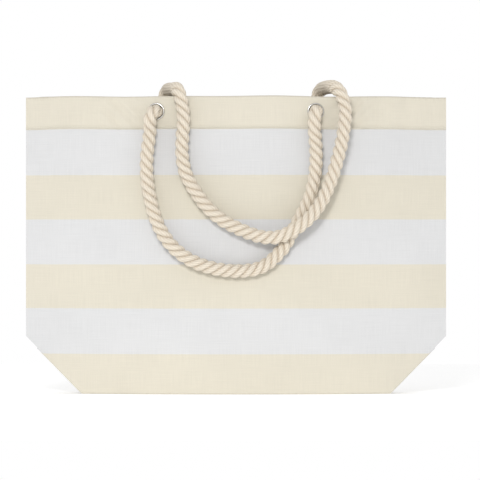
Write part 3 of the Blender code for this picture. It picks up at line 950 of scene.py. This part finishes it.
for wall, side in WALLS:
    points = []
    faces = []
    for level in STITCH_LEVELS:
        for share in (1.0, 0.0):
            limit = HALF_WIDTH - STITCH_MARGIN - (0.001 if share else HEM_INSIDE_INSET)
            for x in np.arange(-limit, limit, STITCH_SPACING):
                ends = []
                for end in (x - SLOPE_STEP, x + SLOPE_STEP):
                    lift = hem_lift(end, level, share, side)
                    ends.append(Vector(outer_point(end, level, side, lift)))
                along = (ends[1] - ends[0]).normalized()
                out = Vector((0, side if share else -side, 0))
                out = (out - along * out.dot(along)).normalized()
                middle = (ends[0] + ends[1]) / 2 + out * STITCH_RISE
                add_stitch(points, faces, middle, along, out)
    name = wall + "_hem_stitches"
    mesh = new_mesh(name, points, faces)
    mesh.polygons.foreach_set("use_smooth", [True] * len(faces))
    mesh.materials.append(thread_material)
    stitches = add_object(name, mesh)
    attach(stitches, "bag")


# ---- Seam allowances ----
# Inside the bag the two panels' raw edges stand together, overlocked with thread: up each
# side, along the ridge of the bottom, and across each boxed corner.

SEAM_THICKNESS = 0.0016
SEAM_FREE_EDGE = 0.008
OVERLOCK_PITCH = 0.0028
OVERLOCK_REACH = 0.0042
OVERLOCK_STEPS = 8
THREAD_RADIUS = 0.00026
THREAD_CLEAR = 0.0003
STRIP_STEP = (0.004, 0.003)
seam_canvas = canvas_material("seam_canvas", False)


def strip_grid(low_edge, high_edge, rows=4):
    """Rows of points from the high edge of a strip down to its low edge."""
    grid = []
    for row in range(rows):
        share = row / (rows - 1)
        line = []
        for low, high in zip(low_edge, high_edge):
            line.append(tuple(Vector(high).lerp(Vector(low), share)))
        grid.append(line)
    return grid


def keep_all(row, column):
    return True


def seam_strip(name, low_edge, high_edge, side=-1, offset=0.0):
    """A strip of seam allowance, two layers of canvas thick, between two edges."""
    grid = strip_grid(low_edge, high_edge)
    step_x, step_y = STRIP_STEP
    lengths = []
    for row, line in enumerate(grid):
        lengths.append([(column * step_x, row * step_y) for column in range(len(line))])
    strip = cloth_mesh(name, grid, lengths, keep_all, side, SEAM_THICKNESS, offset)
    strip.data.materials.append(seam_canvas)
    return strip


def overlock(name, free_edge, inward, across):
    """Thread wound round a free edge: out along one face, over the edge and back along the other."""
    edge = smooth_route(free_edge, OVERLOCK_PITCH / OVERLOCK_STEPS)
    points = []
    for number, place in enumerate(edge):
        turn = number / OVERLOCK_STEPS * 2 * math.pi
        reach = OVERLOCK_REACH * (0.5 - 0.5 * math.cos(turn)) - THREAD_CLEAR
        swing = (SEAM_THICKNESS / 2 + THREAD_CLEAR) * math.sin(turn)
        points.append(Vector(place) + Vector(inward) * reach + Vector(across) * swing)
    line = bpy.data.curves.new(name, "CURVE")
    line.dimensions = "3D"
    line.bevel_depth = THREAD_RADIUS
    line.bevel_resolution = 0
    line.use_fill_caps = True
    drawn = line.splines.new("POLY")
    drawn.points.add(len(points) - 1)
    for point, place in zip(drawn.points, points):
        point.co = (*place, 1)
    thread = add_object(name, line)
    select_only(thread)
    bpy.ops.object.convert(target="MESH")
    thread.data.materials.clear()
    thread.data.materials.append(thread_material)
    return thread


RIDGE_CLEAR = CLOTH + GAP
SEAM_INSET = 0.003
SEAM_ALLOWANCE = 0.012
SIDE_SEAM_LIFT = 0.006
SADDLE_SPACING = 0.002
CORNER_SEAM_LEG = 0.72
seam_outer = HALF_WIDTH - SEAM_INSET
seam_inner = seam_outer - SEAM_ALLOWANCE
corner_outer = HALF_BOTTOM - GAP
corner_inner = corner_outer - SEAM_FREE_EDGE
seam_pieces = []

places = np.linspace(-corner_inner + GAP, corner_inner - GAP, 61)
low_edge = [(x, 0, ridge_height(x) + RIDGE_CLEAR) for x in places]
high_edge = [(x, 0, z + SEAM_FREE_EDGE) for x, _, z in low_edge]
bottom = seam_strip("bottom_seam_allowance", low_edge, high_edge)
bottom_thread = overlock("bottom_seam_overlock", high_edge, (0, 0, -1), (0, 1, 0))
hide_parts("bottom_seam")
seam_pieces += [bottom, bottom_thread]

for hand, x_sign in (("left", -1), ("right", 1)):
    seam_foot = ridge_height(seam_inner) + RIDGE_CLEAR + SIDE_SEAM_LIFT
    levels = np.linspace(seam_foot, BAG_HEIGHT - GAP, 70)
    outer_edge = [(x_sign * seam_outer, 0, z) for z in levels]
    inner_edge = [(x_sign * seam_inner, 0, z) for z in levels]
    strip = seam_strip(hand + "_side_seam_allowance", outer_edge, inner_edge, side=-x_sign)
    thread = overlock(hand + "_side_seam_overlock", inner_edge, (x_sign, 0, 0), (0, 1, 0))
    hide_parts(hand + "_side_seam")
    run = np.linspace(HALF_BOTTOM + GAP, HALF_WIDTH - CORNER_SLIT, 16)
    low_edge = [(x_sign * x, 0, ridge_height(x) + RIDGE_CLEAR) for x in run]
    high_edge = [(x, 0, z + SEAM_FREE_EDGE) for x, _, z in low_edge]
    foot = seam_strip(hand + "_side_seam_foot", low_edge, high_edge, side=-x_sign)
    seam_pieces += [strip, thread, foot]
    saddle = []
    for x in (corner_outer, corner_inner):
        reach = wall_reach(x) - FOLD_WIDTH
        top = ridge_height(x)
        clear = (CLOTH + 4 * GAP) / math.cos(math.atan2(reach, top))
        foot_reach = reach * CORNER_SEAM_LEG + clear
        foot_top = top * (1 - CORNER_SEAM_LEG)
        peak = top + RIDGE_CLEAR + GAP
        over = [(-foot_reach, foot_top), (-clear, top), (0, peak), (clear, top), (foot_reach, foot_top)]
        saddle.append([(x_sign * x, y, z) for y, z in over])
    smooth = [smooth_route(edge, SADDLE_SPACING) for edge in saddle]
    count = min(len(edge) for edge in smooth)
    outer, inner = [edge[:count] for edge in smooth]
    corner = seam_strip(hand + "_corner_seam_allowance", outer, inner, side=-x_sign, offset=1.0)
    corner_thread = overlock(hand + "_corner_seam_overlock", inner, (x_sign, 0, 0), (0, 0, 1))
    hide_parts(hand + "_corner_seam")
    seam_pieces += [corner, corner_thread]

for piece in seam_pieces:
    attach(piece, "bag")


# ---- Care label ----
# A blank woven ribbon, folded once. It stands inward from the left side seam inside the
# bag, and the seam holds its cut ends.

LABEL_WIDTH = 0.026
LABEL_HEIGHT = 0.048
LABEL_THICKNESS = 0.0006
LABEL_CURL = 0.0016
LABEL_ROWS = 13
LABEL_DROP = 0.070
RIB_RELIEF = 0.0001
label_edge = -seam_inner + GAP
label_top = BAG_HEIGHT - LABEL_DROP
across_label = np.linspace(0, LABEL_WIDTH, 9)


def label_line(z):
    """One edge of the label. It curls a little towards its free end."""
    return [(label_edge + step, LABEL_CURL * (step / LABEL_WIDTH) ** 2, z) for step in across_label]


label_grid = strip_grid(label_line(label_top - LABEL_HEIGHT), label_line(label_top), LABEL_ROWS)
label_step = LABEL_HEIGHT / (LABEL_ROWS - 1)
label_lengths = [[(step, row * label_step) for step in across_label] for row in range(LABEL_ROWS)]
label = cloth_mesh("care_label_ribbon", label_grid, label_lengths, keep_all, -1, LABEL_THICKNESS, 0.0)
ribbon, tree, shader = new_material("woven_ribbon", (0.86, 0.86, 0.84), 0.6)
ribbon_uv = add_node(tree, "ShaderNodeUVMap", uv_map="cloth").outputs["UV"]
ribs = add_node(tree, "ShaderNodeTexWave", bands_direction="Y")
feed(tree, ribs.inputs["Vector"], ribbon_uv)
ribs.inputs["Scale"].default_value = 420
add_bump(tree, shader, ribs.outputs["Fac"], RIB_RELIEF)
ribbon_tone = noise_value(tree, stretched(tree, ribbon_uv, (40, 900, 1)), 1.0)
ribbon_colour = blend_colours(tree, ribbon_tone, (0.80, 0.80, 0.78, 1), (0.90, 0.90, 0.89, 1))
feed(tree, shader.inputs["Base Color"], ribbon_colour)
label.data.materials.append(ribbon)
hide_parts("care_label")
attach(label, "bag")


# ---- Eyelets and washers ----
# Nickel-plated steel: a rounded flange outside with its barrel through the cloth, set over
# a flat washer inside.

BORE_RADIUS = ROPE_DIAMETER / 2 + GAP
FLANGE_RADIUS = 0.0109
WASHER_RADIUS = 0.012
FLANGE_HEIGHT = 0.0023
FLANGE_EDGE = 0.0004
FLANGE_FULLNESS = 0.8
RING_SIDES = 72
BARREL_WALL = 0.0008
WASHER_THICKNESS = 0.001
LIP_THICKNESS = 0.0006
LIP_WIDTH = 0.0012
LIP_BEVEL = 0.0003
BARREL_RADIUS = BORE_RADIUS + BARREL_WALL
WASHER_TOP = -(3 * CLOTH + 2 * GAP) - 1.5 * GAP
WASHER_BOTTOM = WASHER_TOP - WASHER_THICKNESS
LIP_TOP = WASHER_BOTTOM - GAP
LIP_BOTTOM = LIP_TOP - LIP_THICKNESS
LEAST_ROUGHNESS = 0.17
HAZE_SPREAD = 0.16
PLATE_RELIEF = 0.00002

nickel, tree, shader = new_material("nickel_plate", (0.66, 0.655, 0.64), 0.24, 1.0)
metal_spot = add_node(tree, "ShaderNodeTexCoord").outputs["Object"]
haze = noise_value(tree, metal_spot, 260, 4.0)
rough = calculate(tree, "MULTIPLY_ADD", haze, HAZE_SPREAD)
rough.node.inputs[2].default_value = LEAST_ROUGHNESS
feed(tree, shader.inputs["Roughness"], rough)
nickel_colour = blend_colours(tree, haze, (0.60, 0.595, 0.58, 1), (0.72, 0.715, 0.70, 1))
feed(tree, shader.inputs["Base Color"], nickel_colour)
add_bump(tree, shader, noise_value(tree, metal_spot, 1500), PLATE_RELIEF)


def flange_profile():
    """(radius, height) from the bore over the rounded flange, under it and down the barrel."""
    ring = []
    middle = (BORE_RADIUS + FLANGE_RADIUS) / 2
    half = (FLANGE_RADIUS - BORE_RADIUS) / 2
    for turn in range(0, 181, 15):
        angle = math.radians(180 - turn)
        rise = (FLANGE_HEIGHT - GAP - FLANGE_EDGE) * math.sin(angle) ** FLANGE_FULLNESS
        ring.append((middle + half * math.cos(angle), GAP + FLANGE_EDGE + rise))
    ring += [(FLANGE_RADIUS, GAP), (BARREL_RADIUS, GAP), (BARREL_RADIUS, LIP_TOP)]
    ring += [(BARREL_RADIUS + LIP_WIDTH, LIP_TOP), (BARREL_RADIUS + LIP_WIDTH - LIP_BEVEL, LIP_BOTTOM)]
    return [*ring, (BORE_RADIUS, LIP_BOTTOM)]


def washer_profile():
    """(radius, height) round a flat washer with one bevelled edge."""
    outer = WASHER_RADIUS
    hole = BARREL_RADIUS + GAP
    return [
        (hole, WASHER_TOP),
        (outer, WASHER_TOP),
        (outer, WASHER_BOTTOM + LIP_BEVEL),
        (outer - LIP_BEVEL, WASHER_BOTTOM),
        (hole, WASHER_BOTTOM),
    ]


def turned_piece(name, profile, place, outward):
    """Draws a circle and pulls it out ring by ring along the profile, then closes it on itself."""
    bpy.ops.object.select_all(action="DESELECT")
    first_radius, first_height = profile[0]
    bpy.ops.mesh.primitive_circle_add(vertices=RING_SIDES, radius=first_radius, location=(0, 0, 0))
    piece = bpy.context.object
    piece.name = name
    bpy.ops.object.mode_set(mode="EDIT")
    bpy.ops.mesh.select_all(action="SELECT")
    bpy.ops.transform.translate(value=(0, 0, first_height))
    steps = list(zip(profile, [*profile[1:], profile[0]]))
    for (radius, height), (next_radius, next_height) in steps:
        grow = next_radius / radius
        bpy.ops.mesh.extrude_region_move(TRANSFORM_OT_translate={"value": (0, 0, next_height - height)})
        bpy.ops.transform.resize(value=(grow, grow, 1), center_override=(0, 0, 0))
    bpy.ops.mesh.select_all(action="SELECT")
    bpy.ops.mesh.remove_doubles(threshold=0.00001)
    bpy.ops.mesh.normals_make_consistent()
    bpy.ops.object.mode_set(mode="OBJECT")
    bpy.ops.object.shade_smooth_by_angle(angle=math.radians(40))
    piece.rotation_euler = outward.to_track_quat("Z", "Y").to_euler()
    piece.location = place
    bpy.ops.object.transform_apply()
    piece.data.materials.append(nickel)
    return piece


for name, x_sign, side in EYELETS:
    place, outward = eyelet_place(x_sign, side)
    eyelet = turned_piece(name + "_eyelet_ring", flange_profile(), place, outward)
    washer = turned_piece(name + "_washer_ring", washer_profile(), place, outward)
    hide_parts(name + "_eyelet")
    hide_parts(name + "_washer")
    for piece in (eyelet, washer):
        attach(piece, "bag")
